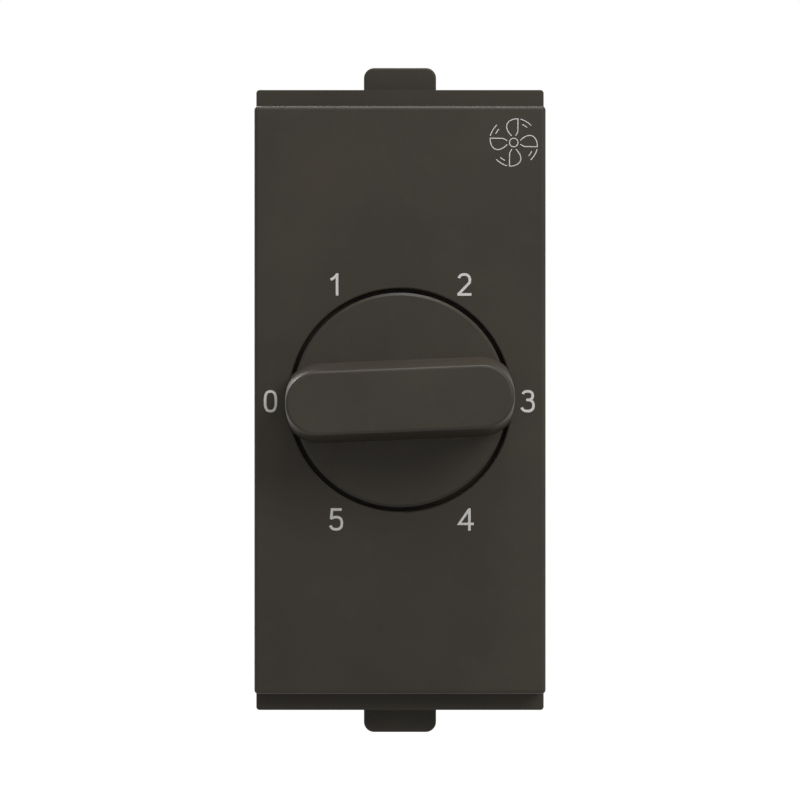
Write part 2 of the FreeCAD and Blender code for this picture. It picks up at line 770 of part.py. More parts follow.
def knob():
    body = new_body("knob")
    pad_back(body, "disc_front", "disc_thickness", lambda s: circle(s, "disc_diameter"))
    dress(body, "PartDesign::Chamfer", "disc_edge", edges_at(body.Shape, "disc_front"))
    pad_back(body, "disc_back", "hub_back - (disc_back)", lambda s: circle(s, "hub_diameter"))

    # Handle: a round-ended bar with moulding draft, its ends cut off by the circle of the dial's hole
    half = "handle_width / 2"
    reach = "(handle_length - handle_width) / 2"
    tall = "handle_height + disc_edge"
    handle = pad_back(body, "handle_front", tall, lambda s: arc_outline(s, [
        ((f"-({reach})", f"-{half}"),),
        ((reach, f"-{half}"), (reach, "0"), 1),
        ((reach, half),),
        ((f"-({reach})", half), (f"-({reach})", "0"), 1),
    ]))
    handle.setExpression("TaperAngle", tied("handle_draft"))
    doc.recompute()
    dress(body, "PartDesign::Fillet", "handle_edge_radius", edges_at(body.Shape, "handle_front"))

    def outside(sketch):
        circle(sketch, "dial_hole")
        circle(sketch, "2 * handle_length")

    pocket_back(body, "handle_front", tall, outside)

    # Hollows moulded into the handle from behind, one each side of the hub
    def cores(sketch):
        inner = "hub_diameter / 2 + lap"
        outer = "disc_diameter / 2 - core_wall"
        for side in (1, -1):
            rectangle(sketch, f"{outer} - ({inner})", "core_width", f"{side} * ({outer} + {inner}) / 2")

    sketch = front_sketch(body, "disc_back")
    cores(sketch)
    pocket(body, sketch, "core_depth", forward=True)

    # Bore with a flat that grips the shaft, and a pocket beside the flat for the spring strip
    half = "(shaft_bore) / 2"
    flat = "shaft_flat + flat_play"
    chord = f"sqrt(({half}) * ({half}) - ({flat}) * ({flat}))"
    sketch = front_sketch(body, "hub_back")
    arc_outline(sketch, [
        ((f"-({chord})", flat), ("0", "0"), 1),
        ((chord, flat),),
    ])
    pocket(body, sketch, "hub_back - (shaft_tip) + end_float", forward=True)
    sketch = front_sketch(body, "hub_back")
    rectangle(sketch, "clip_width + lap", "clip_thickness + clip_room + lap", "0",
              f"{flat} + (clip_thickness + clip_room - lap) / 2")
    pocket(body, sketch, "hub_back - (disc_back)", forward=True)
    body.Placement = tilt()
    return body


def tilt():
    """The knob stands a little off its notch, turned anticlockwise in the play of its flat."""
    return FreeCAD.Placement(
        FreeCAD.Vector(), FreeCAD.Rotation(FreeCAD.Vector(0, 1, 0), -value("handle_tilt"))
    )


def knob_clip():
    """Bowed spring strip in the hub's pocket, above the flat."""
    body = new_body("knob_clip")
    low = "shaft_flat + flat_play + clip_bow"
    front = "disc_back + end_float"
    back = "hub_back - end_float"
    sketch = side_sketch(body)
    outline(sketch, [
        (front, low),
        (f"({front} + {back}) / 2", f"{low} - clip_bow"),
        (back, low),
        (back, f"{low} + clip_thickness"),
        (f"({front} + {back}) / 2", f"{low} + clip_thickness - clip_bow"),
        (front, f"{low} + clip_thickness"),
    ])
    centred(pad(body, sketch, "clip_width"))
    body.Placement = tilt()
    return body


def rotor():
    body = new_body("rotor")
    pad_back(body, "wheel_front", "wheel_thickness", lambda s: circle(s, "wheel_diameter"))
    edge = ("0", "wheel_diameter / 2")
    notch = pocket_back(body, "wheel_front", "wheel_thickness", lambda s: circle(s, "notch_diameter", *edge))
    notches = body.newObject("PartDesign::PolarPattern", "notches")
    notches.Originals = [notch]
    axis = next(f for f in body.Origin.OriginFeatures if f.Role == "Y_Axis")
    notches.Axis = (axis, [""])
    notches.setExpression("Occurrences", tied("step_count"))
    body.Tip = notches
    doc.recompute()

    shaft = "wheel_front - (shaft_tip)"
    half = "shaft_diameter / 2"
    chord = f"sqrt(({half}) * ({half}) - shaft_flat * shaft_flat)"
    pad_back(body, "shaft_tip", shaft, lambda s: circle(s, "shaft_diameter"))
    flat_length = "hub_back - (shaft_tip)"
    room = "shaft_diameter / 2"
    pocket_back(body, "shaft_tip", flat_length,
                lambda s: rectangle(s, f"2 * ({chord}) + lap", room, "0", f"shaft_flat + {room} / 2"))

    # Stop lug behind the wheel, then the hub, the wiper's boss and the pivot
    pad_back(body, "wheel_back", "wiper_front - (wheel_back)", lambda s: circle(s, "rotor_hub_diameter"))

    def lug(sketch):
        wide = "lug_half_angle"
        outline(sketch, [
            ("-lug_inner", f"lug_inner * tan({wide})"),
            ("-lug_inner", f"-lug_inner * tan({wide})"),
            ("-lug_outer", f"-lug_outer * tan({wide})"),
            ("-lug_outer", f"lug_outer * tan({wide})"),
        ])

    pad_back(body, "wheel_back", "lug_thickness", lug)
    pad_back(body, "wiper_front", "rotor_end - (wiper_front)", lambda s: circle(s, "rotor_boss_diameter"))
    pad_back(body, "rotor_end", "pivot_length", lambda s: circle(s, "pivot_diameter"))
    return body


def wiper():
    """Spring arm with one dimple over the fixed contacts and one over the collector ring."""
    body = new_body("wiper")
    pad_back(body, "wiper_front", "wiper_thickness", lambda s: circle(s, "collector_outer"))
    reach = "contact_radius + wiper_overhang"
    pad_back(body, "wiper_front", "wiper_thickness",
             lambda s: rectangle(s, reach, "wiper_width", f"-({reach}) / 2"))
    pad_back(body, "wiper_front", "contact_front - contact_gap - (wiper_front)",
             lambda s: circle(s, "outer_dimple", "-contact_radius"))
    middle = "(collector_inner + collector_outer) / 4"
    pad_back(body, "wiper_front", "collector_front - contact_gap - (wiper_front)",
             lambda s: circle(s, "inner_dimple", middle))
    pocket_back(body, "wiper_front", "wiper_thickness", lambda s: circle(s, "rotor_boss_diameter"))
    return body


def detent_spring():
    """Leaf with a folded nose that sits in the wheel's upper notch."""
    body = new_body("detent_spring")
    back = "spring_back_up"
    front = f"{back} - spring_thickness"
    sketch = front_sketch(body, "wheel_front + (wheel_thickness - spring_width) / 2")
    arc_outline(sketch, [
        (("-spring_half_length", front),),
        (("-nose_radius", front),),
        (("-nose_radius", "nose_up"), ("0", "nose_up"), 1),
        (("nose_radius", "nose_up"),),
        (("nose_radius", front),),
        (("spring_half_length", front),),
        (("spring_half_length", back),),
        (("nose_side", back),),
        (("nose_side", "nose_up"), ("0", "nose_up"), -1),
        (("-(nose_side)", "nose_up"),),
        (("-(nose_side)", back),),
        (("-spring_half_length", back),),
    ])
    pad(body, sketch, "spring_width", forward=False)
    return body


def rivet_spots(sketch, diameter):
    for side in (1, -1):
        for end in (1, -1):
            circle(sketch, diameter, f"{side} * rivet_across", f"{end} * rivet_up")


def switch_frame():
    body = new_body("switch_frame")
    pad_back(body, "switch_setback", "switch_depth", lambda s: rectangle(s, "switch_width", "switch_height"))
    inner = ("switch_width - 2 * switch_wall", "2 * switch_inner_up")
    pocket_back(body, "switch_inside", "switch_back - (switch_inside)", lambda s: rectangle(s, *inner))
    pad_back(body, "switch_inside - lap", "switch_back - (switch_inside) + lap",
             lambda s: rivet_spots(s, "rivet_post"))
    pocket_back(body, "switch_setback", "switch_depth", lambda s: rivet_spots(s, "rivet_diameter + pin_play"))
    pocket_back(body, "switch_setback", "switch_front_wall", lambda s: circle(s, "shaft_bore"))

    # Seats behind the leaf spring's ends
    def seats(sketch):
        for side in (1, -1):
            rectangle(sketch, "spring_seat_width", "spring_back_gap + lap",
                      f"{side} * (spring_half_length - spring_seat_width / 2)",
                      "spring_back_up + (spring_back_gap + lap) / 2")

    pad_back(body, "switch_inside - lap", "wheel_thickness + wheel_gap + 2 * lap", seats)
    return body


def switch_base():
    body = new_body("switch_base")
    pad_back(body, "switch_back", "base_thickness", lambda s: rectangle(s, "switch_width", "switch_height"))

    def post(sketch):
        wide = "post_half_angle"
        outer = f"lug_outer / cos({wide})"
        inner = f"post_inner / cos({wide})"
        outline(sketch, [
            polar(inner, f"{GAP_ANGLE} - {wide}"),
            polar(outer, f"{GAP_ANGLE} - {wide}"),
            polar(outer, f"{GAP_ANGLE} + {wide}"),
            polar(inner, f"{GAP_ANGLE} + {wide}"),
        ])

    pad_back(body, "wheel_back + post_gap", "switch_back - (wheel_back) - post_gap + lap", post)

    def feet(sketch):
        for side in (1, -1):
            for end in (1, -1):
                rectangle(sketch, "foot_width", "switch_wall", f"{side} * foot_spread",
                          f"{end} * (switch_height / 2 - switch_wall / 2)")

    pad_back(body, "base_back - lap", "foot_height + lap", feet)

    def holes(sketch):
        rivet_spots(sketch, "rivet_diameter + pin_play")
        tails(sketch, "pin_play")

    pocket_back(body, "switch_back - lap", "base_thickness + 2 * lap", holes)
    bush = "pivot_diameter + 2 * shaft_fit"
    pocket_back(body, "switch_back - lap", "pivot_length + lap", lambda s: circle(s, bush))
    return body


def tail(sketch, play, place):
    """The section of one flat tail, or of its hole with some play."""
    rectangle(sketch, f"tail_width + {play}", f"tail_thickness + {play}", *place)


def collector_tail():
    return polar("(collector_inner + collector_outer) / 4", GAP_ANGLE)


def tails(sketch, play):
    """The tails of all contacts and of the collector ring."""
    for angle in CONTACT_ANGLES:
        tail(sketch, play, polar("contact_radius", angle))
    tail(sketch, play, collector_tail())


def speed_contacts():
    """Five contacts: a round head on the base and a flat tail through the board."""
    body = new_body("speed_contacts")

    def heads(sketch):
        for angle in CONTACT_ANGLES:
            circle(sketch, "contact_head", *polar("contact_radius", angle))

    def stems(sketch):
        for angle in CONTACT_ANGLES:
            tail(sketch, "0", polar("contact_radius", angle))

    pad_back(body, "contact_front", "contact_height", heads)
    pad_back(body, "switch_back - lap", "tail_end - (switch_back) + lap", stems)
    return body


def collector_ring():
    body = new_body("collector_ring")
    pad_back(body, "collector_front", "collector_height", lambda s: circle(s, "collector_outer"))
    pocket_back(body, "collector_front", "collector_height", lambda s: circle(s, "collector_inner"))
    pad_back(body, "collector_front", "tail_end - (collector_front)",
             lambda s: tail(s, "0", collector_tail()))
    return body


def switch_rivets():
    body = new_body("switch_rivets")
    head = "rivet_head_height"
    pad_back(body, f"switch_setback - {head}", head, lambda s: rivet_spots(s, "rivet_head"))
    pad_back(body, f"switch_setback - {head}", f"base_back - switch_setback + 2 * {head}",
             lambda s: rivet_spots(s, "rivet_diameter"))
    pad_back(body, "base_back", head, lambda s: rivet_spots(s, "rivet_head"))
    return body


def circuit_board():
    body = new_body("circuit_board")
    pad_back(body, "board_front", "board_thickness", lambda s: rectangle(s, "board_width", "board_height"))
    lead_hole = "lead_diameter + pin_play"

    def holes(sketch):
        tails(sketch, "pin_play")
        for side in (1, -1):
            circle(sketch, "board_screw_shank + 2 * pin_play",
                   f"{side} * board_screw_across", "board_screw_up")
            for up in ("large_capacitor_up", "small_capacitor_up"):
                circle(sketch, lead_hole, f"{side} * capacitor_lead_across", up)
            for number in range(2):
                circle(sketch, lead_hole, f"{side} * surge_lead_across", f"surge_up + {number} * surge_pitch")
                circle(sketch, lead_hole, f"{side} * bleed_lead_across", f"bleed_up + {number} * bleed_pitch")
            rectangle(sketch, "terminal_pin_width + pin_play", "terminal_plate_thickness + pin_play",
                      f"{side} * terminal_across", "plate_high - terminal_plate_thickness / 2")

    pocket_back(body, "board_front - lap", "board_thickness + 2 * lap", holes)
    return body


def board_screws():
    """Two pan-head screws that hold the board on the housing's bosses."""
    body = new_body("board_screws")

    def spots(diameter):
        def draw(sketch):
            for side in (1, -1):
                circle(sketch, diameter, f"{side} * board_screw_across", "board_screw_up")

        return draw

    head = "board_screw_head_height"
    pad_back(body, f"board_front - {head}", head, spots("board_screw_head"))
    dress(body, "PartDesign::Chamfer", "board_screw_bevel", edges_at(body.Shape, f"board_front - {head}"))
    length = "board_thickness + board_screw_length - end_float"
    pad_back(body, "board_front", length, spots("board_screw_shank"))
    sketch = front_sketch(body, f"board_front - {head}")
    for side in (1, -1):
        rectangle(sketch, "board_screw_slot_length", "board_screw_slot",
                  f"{side} * board_screw_across", "board_screw_up")
    pocket(body, sketch, "board_screw_slot_depth")
    return body


def capacitor(size):
    """Box-shaped film capacitor behind the board, with two leads through it."""
    body = new_body(f"capacitor_{size}")
    up = f"{size}_capacitor_up"
    front = "board_back + part_lift"
    box = ("capacitor_width", f"{size}_capacitor_height", "0", up)
    pad_back(body, front, f"{size}_capacitor_depth", lambda s: rectangle(s, *box))
    corners = edges_where(body.Shape, lambda m, d: along(d, "y"))
    dress(body, "PartDesign::Fillet", "capacitor_edge", corners)

    def leads(sketch):
        for side in (1, -1):
            circle(sketch, "lead_diameter", f"{side} * capacitor_lead_across", up)

    start = "board_front - lead_reach"
    pad_back(body, start, f"{front} + lap - ({start})", leads)

    # Standoff feet that rest on the board
    def feet(sketch):
        for side in (1, -1):
            rectangle(sketch, "capacitor_foot", f"{size}_capacitor_height - 4 * capacitor_edge",
                      f"{side} * (capacitor_width - capacitor_foot) / 2", up)

    pad_back(body, "board_back", "part_lift + lap", feet)
    return body


def resistor(body, kind, number, behind):
    """Lacquered body with thicker ends, and leads bent into the board."""
    side = 1 if behind else -1
    surface = "board_back" if behind else "board_front"
    far = "board_front - lead_reach" if behind else "board_back + lead_reach"
    depth = f"{surface} + ({side}) * ({kind}_diameter / 2 + part_lift)"
    up = f"{kind}_up + {number} * {kind}_pitch"
    half = f"{kind}_length / 2"
    sketch = top_sketch(body, up)
    thick = f"{kind}_diameter / 2"
    waist = f"{kind}_waist / 2"
    outline(sketch, [
        (f"-({half})", depth),
        (half, depth),
        (half, f"{depth} + {thick}"),
        (f"{half} - resistor_cap", f"{depth} + {thick}"),
        (f"{half} - resistor_cap - resistor_slope", f"{depth} + {waist}"),
        (f"-({half} - resistor_cap - resistor_slope)", f"{depth} + {waist}"),
        (f"-({half} - resistor_cap)", f"{depth} + {thick}"),
        (f"-({half})", f"{depth} + {thick}"),
    ])
    turned = body.newObject("PartDesign::Revolution", f"{kind}_body")
    turned.Profile = sketch
    turned.ReferenceAxis = (sketch, ["Edge1"])
    turned.Angle = 360
    doc.recompute()

    # Each lead: out along the axis, then a sharp bend into the board
    lead = f"{kind}_lead_across"
    for hand in (1, -1):
        path = top_sketch(body, up)
        start = (f"{hand} * ({half} - lap)", depth)
        bend = (f"{hand} * {lead}", depth)
        path.addGeometry(Part.LineSegment(point(start), point(bend)), False)
        path.addGeometry(Part.LineSegment(point(bend), point((bend[0], far))), False)
        path.addConstraint(Sketcher.Constraint("Coincident", 0, 2, 1, 1))
        place_point(path, 0, 1, start)
        place_point(path, 1, 1, bend)
        place_point(path, 1, 2, (bend[0], far))
        section = side_sketch(body, start[0])
        circle(section, "lead_diameter", depth, up)
        pipe = body.newObject("PartDesign::AdditivePipe", f"{kind}_lead")
        pipe.Profile = section
        pipe.Spine = (path, ["Edge1", "Edge2"])
        pipe.Transition = "Right corner"
        path.Visibility = False
        doc.recompute()


def surge_resistors():
    body = new_body("surge_resistors")
    for number in range(2):
        resistor(body, "surge", number, behind=True)
    return body


def bleed_resistors():
    body = new_body("bleed_resistors")
    for number in range(2):
        resistor(body, "bleed", number, behind=False)
    return body


def terminal_place(side):
    """Where one terminal stands: the same pieces, left or right."""
    return FreeCAD.Placement(
        FreeCAD.Vector(side * value("terminal_across"), 0, 0), FreeCAD.Rotation()
    )


def terminal_plate(name, side):
    """Fixed brass plate: an upright leg in the clamp, a shelf forward and a pin through the board."""
    body = new_body(f"terminal_plate_{name}")
    sketch = side_sketch(body)
    outline(sketch, [
        ("plate_front", "plate_low"),
        ("plate_back", "plate_low"),
        ("plate_back", "plate_high"),
        ("board_back", "plate_high"),
        ("board_back", "plate_high - terminal_plate_thickness"),
        ("plate_front", "plate_high - terminal_plate_thickness"),
    ])
    centred(pad(body, sketch, "terminal_plate_width"))
    sketch = side_sketch(body)
    outline(sketch, [
        ("board_front - lead_reach", "plate_high - terminal_plate_thickness"),
        ("board_back + lap", "plate_high - terminal_plate_thickness"),
        ("board_back + lap", "plate_high"),
        ("board_front - lead_reach", "plate_high"),
    ])
    centred(pad(body, sketch, "terminal_pin_width"))
    bend = edges_where(
        body.Shape,
        lambda m, d: along(d, "x") and near(m.y, "plate_back") and near(m.z, "plate_high"),
    )
    dress(body, "PartDesign::Fillet", "terminal_plate_thickness", bend)
    body.Placement = terminal_place(side)
    return body


def terminal_cage(name, side):
    """Rising clamp: a closed loop round the plate, with a thick tapped wall at the rear."""
    body = new_body(f"terminal_cage_{name}")
    sketch = top_sketch(body, "-terminal_down")
    length = "clamp_back - (clamp_front)"
    rectangle(sketch, "clamp_width", length, "0", "(clamp_back + clamp_front) / 2")
    centred(pad(body, sketch, "clamp_height"))
    corners = edges_where(body.Shape, lambda m, d: along(d, "z"))
    dress(body, "PartDesign::Fillet", "clamp_corner", corners)
    sketch = top_sketch(body, "-terminal_down")
    rectangle(sketch, "clamp_inner_width", "nut_front - (wire_front)", "0", "(nut_front + wire_front) / 2")
    centred(pocket(body, sketch, "clamp_height + lap"))
    hole = "terminal_screw_shank + thread_play"
    pocket_back(body, "nut_front - lap", "clamp_nut + 2 * lap",
                lambda s: circle(s, hole, "0", "-terminal_down"))
    body.Placement = terminal_place(side)
    return body


def terminal_screw(name, side):
    """Clamp screw with a slotted head behind the rear wall's hole."""
    body = new_body(f"terminal_screw_{name}")
    up = "-terminal_down"
    pad_back(body, "screw_tip", "terminal_screw_length",
             lambda s: circle(s, "terminal_screw_shank", "0", up))
    dress(body, "PartDesign::Chamfer", "terminal_screw_point", edges_at(body.Shape, "screw_tip"))
    pad_back(body, "screw_head_front", "terminal_screw_head_height",
             lambda s: circle(s, "terminal_screw_head", "0", up))
    rim = edges_at(body.Shape, "screw_head_back")
    dress(body, "PartDesign::Chamfer", "terminal_screw_bevel", rim)
    sketch = front_sketch(body, "screw_head_back")
    rectangle(sketch, "terminal_screw_head + lap", "terminal_screw_slot", "0", up)
    pocket(body, sketch, "terminal_screw_slot_depth", forward=True)
    body.Placement = terminal_place(side)
    return body


pieces = [
    front_cover(),
    rear_housing(),
    knob(),
    knob_clip(),
    rotor(),
    wiper(),
    detent_spring(),
    switch_frame(),
    switch_base(),
    speed_contacts(),
    collector_ring(),
    switch_rivets(),
    circuit_board(),
    board_screws(),
    capacitor("large"),
    capacitor("small"),
    surge_resistors(),
    bleed_resistors(),
]
for name, side in (("line", 1), ("load", -1)):
    pieces.append(terminal_plate(name, side))
    pieces.append(terminal_cage(name, side))
    pieces.append(terminal_screw(name, side))

doc.recompute()
for item in doc.Objects:
    if "Invalid" in item.State or "Error" in item.State:
        raise RuntimeError(f"{item.Name} failed: {item.State}")
for piece in pieces:
    if piece.Shape.isNull() or not piece.Shape.isValid():
        raise RuntimeError(f"{piece.Label} has no valid shape")

os.makedirs("parts", exist_ok=True)
for piece in pieces:
    piece.Shape.exportStep(f"parts/{piece.Label}.step")
    print(piece.Label, len(piece.Shape.Solids), round(piece.Shape.Volume, 2))
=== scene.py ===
import json
import math

import bmesh
import bpy
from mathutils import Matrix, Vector


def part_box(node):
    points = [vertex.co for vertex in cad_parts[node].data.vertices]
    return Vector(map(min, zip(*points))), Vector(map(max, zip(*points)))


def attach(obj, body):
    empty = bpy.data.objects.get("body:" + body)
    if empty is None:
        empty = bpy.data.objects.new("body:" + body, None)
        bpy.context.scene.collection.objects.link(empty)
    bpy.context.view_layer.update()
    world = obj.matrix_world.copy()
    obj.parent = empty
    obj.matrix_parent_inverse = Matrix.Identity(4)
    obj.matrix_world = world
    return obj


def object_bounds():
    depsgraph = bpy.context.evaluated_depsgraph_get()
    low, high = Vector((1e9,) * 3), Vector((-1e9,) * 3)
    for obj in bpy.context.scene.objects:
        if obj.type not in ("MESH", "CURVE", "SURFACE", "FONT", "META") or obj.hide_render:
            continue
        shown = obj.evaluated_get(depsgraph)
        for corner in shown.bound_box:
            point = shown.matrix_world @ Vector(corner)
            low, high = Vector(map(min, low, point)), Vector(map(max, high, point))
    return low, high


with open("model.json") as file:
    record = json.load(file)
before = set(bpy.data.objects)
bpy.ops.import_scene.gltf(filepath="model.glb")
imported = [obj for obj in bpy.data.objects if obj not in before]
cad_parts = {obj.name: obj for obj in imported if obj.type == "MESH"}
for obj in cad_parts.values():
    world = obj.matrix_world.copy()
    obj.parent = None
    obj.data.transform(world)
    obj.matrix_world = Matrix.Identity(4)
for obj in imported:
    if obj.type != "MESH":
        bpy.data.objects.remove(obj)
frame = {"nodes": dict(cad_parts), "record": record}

cad_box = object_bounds()
MM = 0.001

# The face plane and the camera, in metres: the photograph shows 61.2 mm across on the face plane
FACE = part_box("front_cover")[0][1]
VIEW_WIDTH = 61.2 * MM
CAMERA_DISTANCE = 280 * MM
SENSOR = 36.0

# Printed figures: height and stroke, and the middle of each as seen from the front
FIGURE_HEIGHT = 1.53 * MM
FIGURE_STROKE = 0.2 * MM
FIGURE_PLACES = {
    "0": (-9.91, -0.1),
    "1": (-4.92, 8.84),
    "2": (4.93, 8.84),
    "3": (9.83, -0.1),
    "4": (5.05, -9.14),
    "5": (-4.86, -9.14),
}
SIGN_MIDDLE = (8.7, 19.7)
SIGN_LINE = 0.07 * MM
PRINT_HEIGHT = 0.02 * MM
LAYER_RISE = 0.1
STROKE_SINK = -0.2

# Threads of the clamp screws: the ridge starts behind the shank's front end. Its section runs from
# foot to crest to foot, as shares of the pitch and heights over the root
THREAD_PITCH = 0.6 * MM
THREAD_CREST = 0.035 * MM
THREAD_SINK = -0.02 * MM
THREAD_ROOT = 1.695 * MM
THREAD_START = 0.7 * MM
THREAD_LENGTH = 4.2 * MM
THREAD_STEPS = 24
THREAD_FOOT = 0.38
THREAD_FLAT = 0.08

# Paints: how far a rounded edge turns the normal, and the open and deep ends of a recess, where metal
# gets painted shade
SHADER_SAMPLES = 6
EDGE_TURN = 0.88
RECESS_OPEN_TO_DEEP = (0.85, 0.35)
WEAVE = 900
RESIN_DEPTH = 2.6 * MM

# Studio: floor below the part, where it starts and ends fading into the white, its least share of
# white and how much light it throws back; light from all round; lamps as place, size and watts
FLOOR_DROP = 12 * MM
FLOOR_REACH = 6.0
FLOOR_FADE = (60 * MM, 300 * MM)
FLOOR_LEAST_GLOW = 0.7
FLOOR_BOUNCE = (0.25, 0.25, 0.25, 1)
AMBIENT = 0.22
LAMPS = {
    "key": ((0.3, -0.5, 0.28), 0.3, 2.0),
    "top": ((0.06, -0.1, 0.5), 0.16, 1.8),
    "rear": ((-0.2, 0.5, 0.35), 0.35, 2.6),
}

WHITE = (1.0, 1.0, 1.0, 1.0)


# Node helpers
class Paint:
    """A material under construction, with short calls for the nodes that most of them need."""

    def __init__(self, name, color, roughness, metallic=0.0, specular=0.5):
        self.material = bpy.data.materials.new(name)
        self.material.use_nodes = True
        self.tree = self.material.node_tree
        self.shader = self.tree.nodes["Principled BSDF"]
        self.shader.inputs["Metallic"].default_value = metallic
        self.shader.inputs["Specular IOR Level"].default_value = specular
        self.shader.inputs["Roughness"].default_value = roughness
        self.shader.inputs["Base Color"].default_value = (*color, 1)
        self.place = self.add("ShaderNodeTexCoord").outputs["Object"]
        self.normal = None

    def add(self, kind, **settings):
        node = self.tree.nodes.new(kind)
        for name, setting in settings.items():
            setattr(node, name, setting)
        return node

    def feed(self, socket, source):
        if isinstance(source, bpy.types.NodeSocket):
            self.tree.links.new(source, socket)
        else:
            socket.default_value = source

    def math(self, operation, *values):
        node = self.add("ShaderNodeMath", operation=operation)
        for socket, source in zip(node.inputs, values):
            self.feed(socket, source)
        return node.outputs[0]

    def span(self, source, low, high, start=0.0, end=1.0):
        node = self.add("ShaderNodeMapRange", clamp=True)
        for socket, number in zip(node.inputs, (source, low, high, start, end)):
            self.feed(socket, number)
        return node.outputs[0]

    def mix(self, share, first, second):
        node = self.add("ShaderNodeMix", data_type="RGBA")
        self.feed(node.inputs["Factor"], share)
        self.feed(node.inputs[6], first)
        self.feed(node.inputs[7], second)
        return node.outputs[2]

    def stretched(self, scale):
        node = self.add("ShaderNodeMapping")
        self.feed(node.inputs["Vector"], self.place)
        node.inputs["Scale"].default_value = scale
        return node.outputs[0]

    def noise(self, grain, detail=3.0, place=None):
        """Noise whose patches are about grain metres across."""
        node = self.add("ShaderNodeTexNoise")
        self.feed(node.inputs["Vector"], place or self.place)
        node.inputs["Scale"].default_value = 1 / grain
        node.inputs["Detail"].default_value = detail
        node.inputs["Roughness"].default_value = 0.5
        return node.outputs["Fac"]

    def axis(self, name):
        node = self.add("ShaderNodeSeparateXYZ")
        self.feed(node.inputs[0], self.place)
        return node.outputs[name]

    def edges(self, radius):
        """How much of an edge a point lies on: 0 on a flat, 1 on a sharp corner."""
        bevel = self.add("ShaderNodeBevel", samples=SHADER_SAMPLES)
        bevel.inputs["Radius"].default_value = radius
        geometry = self.add("ShaderNodeNewGeometry")
        dot = self.add("ShaderNodeVectorMath", operation="DOT_PRODUCT")
        self.feed(dot.inputs[0], bevel.outputs[0])
        self.feed(dot.inputs[1], geometry.outputs["Normal"])
        return self.span(dot.outputs["Value"], 1.0, EDGE_TURN)

    def recess(self, reach):
        """How deep in a slot or corner a point lies: 0 in the open, 1 at the bottom. It masks painted
        shade on metal.
        """
        hidden = self.add("ShaderNodeAmbientOcclusion", samples=SHADER_SAMPLES)
        hidden.inputs["Distance"].default_value = reach
        return self.span(hidden.outputs["AO"], *RECESS_OPEN_TO_DEEP)

    def bump(self, height, depth):
        node = self.add("ShaderNodeBump")
        node.inputs["Strength"].default_value = 1.0
        node.inputs["Distance"].default_value = depth
        self.feed(node.inputs["Height"], height)
        if self.normal:
            self.feed(node.inputs["Normal"], self.normal)
        self.normal = node.outputs[0]

    def finish(self, color=None, roughness=None):
        if color is not None:
            self.feed(self.shader.inputs["Base Color"], color)
        if roughness is not None:
            self.feed(self.shader.inputs["Roughness"], roughness)
        if self.normal:
            self.feed(self.shader.inputs["Normal"], self.normal)
        return self.material


# Materials
def moulded_plastic(name, color, roughness, polish, specular=0.25):
    """Satin moulding with a fine eroded grain, faint flow marks and slightly rubbed edges."""
    paint = Paint(name, color, roughness, specular=specular)
    flow = paint.noise(9 * MM, 2)
    cloud = paint.noise(1.6 * MM, 3)
    grain = paint.noise(0.09 * MM, 2)
    worn = paint.edges(0.15 * MM)
    lighter = tuple(1.28 * part for part in color)
    darker = tuple(0.8 * part for part in color)
    tone = paint.mix(paint.span(flow, 0.35, 0.65), (*darker, 1), (*lighter, 1))
    tone = paint.mix(0.45, tone, (*color, 1))
    speck = tuple(1.5 * part for part in color)
    tone = paint.mix(paint.span(cloud, 0.55, 0.8, 0, 0.25), tone, (*speck, 1))
    rubbed = tuple(1.9 * part + 0.01 for part in color)
    tone = paint.mix(paint.math("MULTIPLY", worn, 0.16), tone, (*rubbed, 1))
    rough = paint.span(cloud, 0.3, 0.7, roughness - 0.025, roughness + 0.03)
    rough = paint.math("SUBTRACT", rough, paint.math("MULTIPLY", worn, polish))
    paint.bump(grain, 0.006 * MM)
    paint.bump(flow, 0.03 * MM)
    return paint.finish(tone, rough)


def acetal():
    paint = Paint("natural_acetal", (0.72, 0.7, 0.64), 0.32)
    paint.shader.inputs["Subsurface Weight"].default_value = 0.15
    paint.shader.inputs["Subsurface Scale"].default_value = 0.5 * MM
    cloud = paint.noise(1.5 * MM, 3)
    worn = paint.edges(0.12 * MM)
    tone = paint.mix(paint.span(cloud, 0.3, 0.7), (0.66, 0.63, 0.55, 1), (0.76, 0.74, 0.69, 1))
    tone = paint.mix(paint.math("MULTIPLY", worn, 0.5), tone, (0.86, 0.85, 0.82, 1))
    paint.bump(paint.noise(0.12 * MM, 2), 0.004 * MM)
    return paint.finish(tone, paint.span(cloud, 0.3, 0.7, 0.26, 0.42))


def phenolic():
    """Pressed paper laminate with fibres that run one way."""
    paint = Paint("phenolic_laminate", (0.16, 0.07, 0.03), 0.5)
    fibres = paint.noise(1.2 * MM, 5, paint.stretched((0.12, 1, 1)))
    worn = paint.edges(0.12 * MM)
    tone = paint.mix(paint.span(fibres, 0.3, 0.7), (0.11, 0.045, 0.018, 1), (0.23, 0.1, 0.045, 1))
    tone = paint.mix(paint.math("MULTIPLY", worn, 0.4), tone, (0.33, 0.18, 0.09, 1))
    paint.bump(fibres, 0.01 * MM)
    return paint.finish(tone, paint.span(fibres, 0.3, 0.7, 0.42, 0.6))


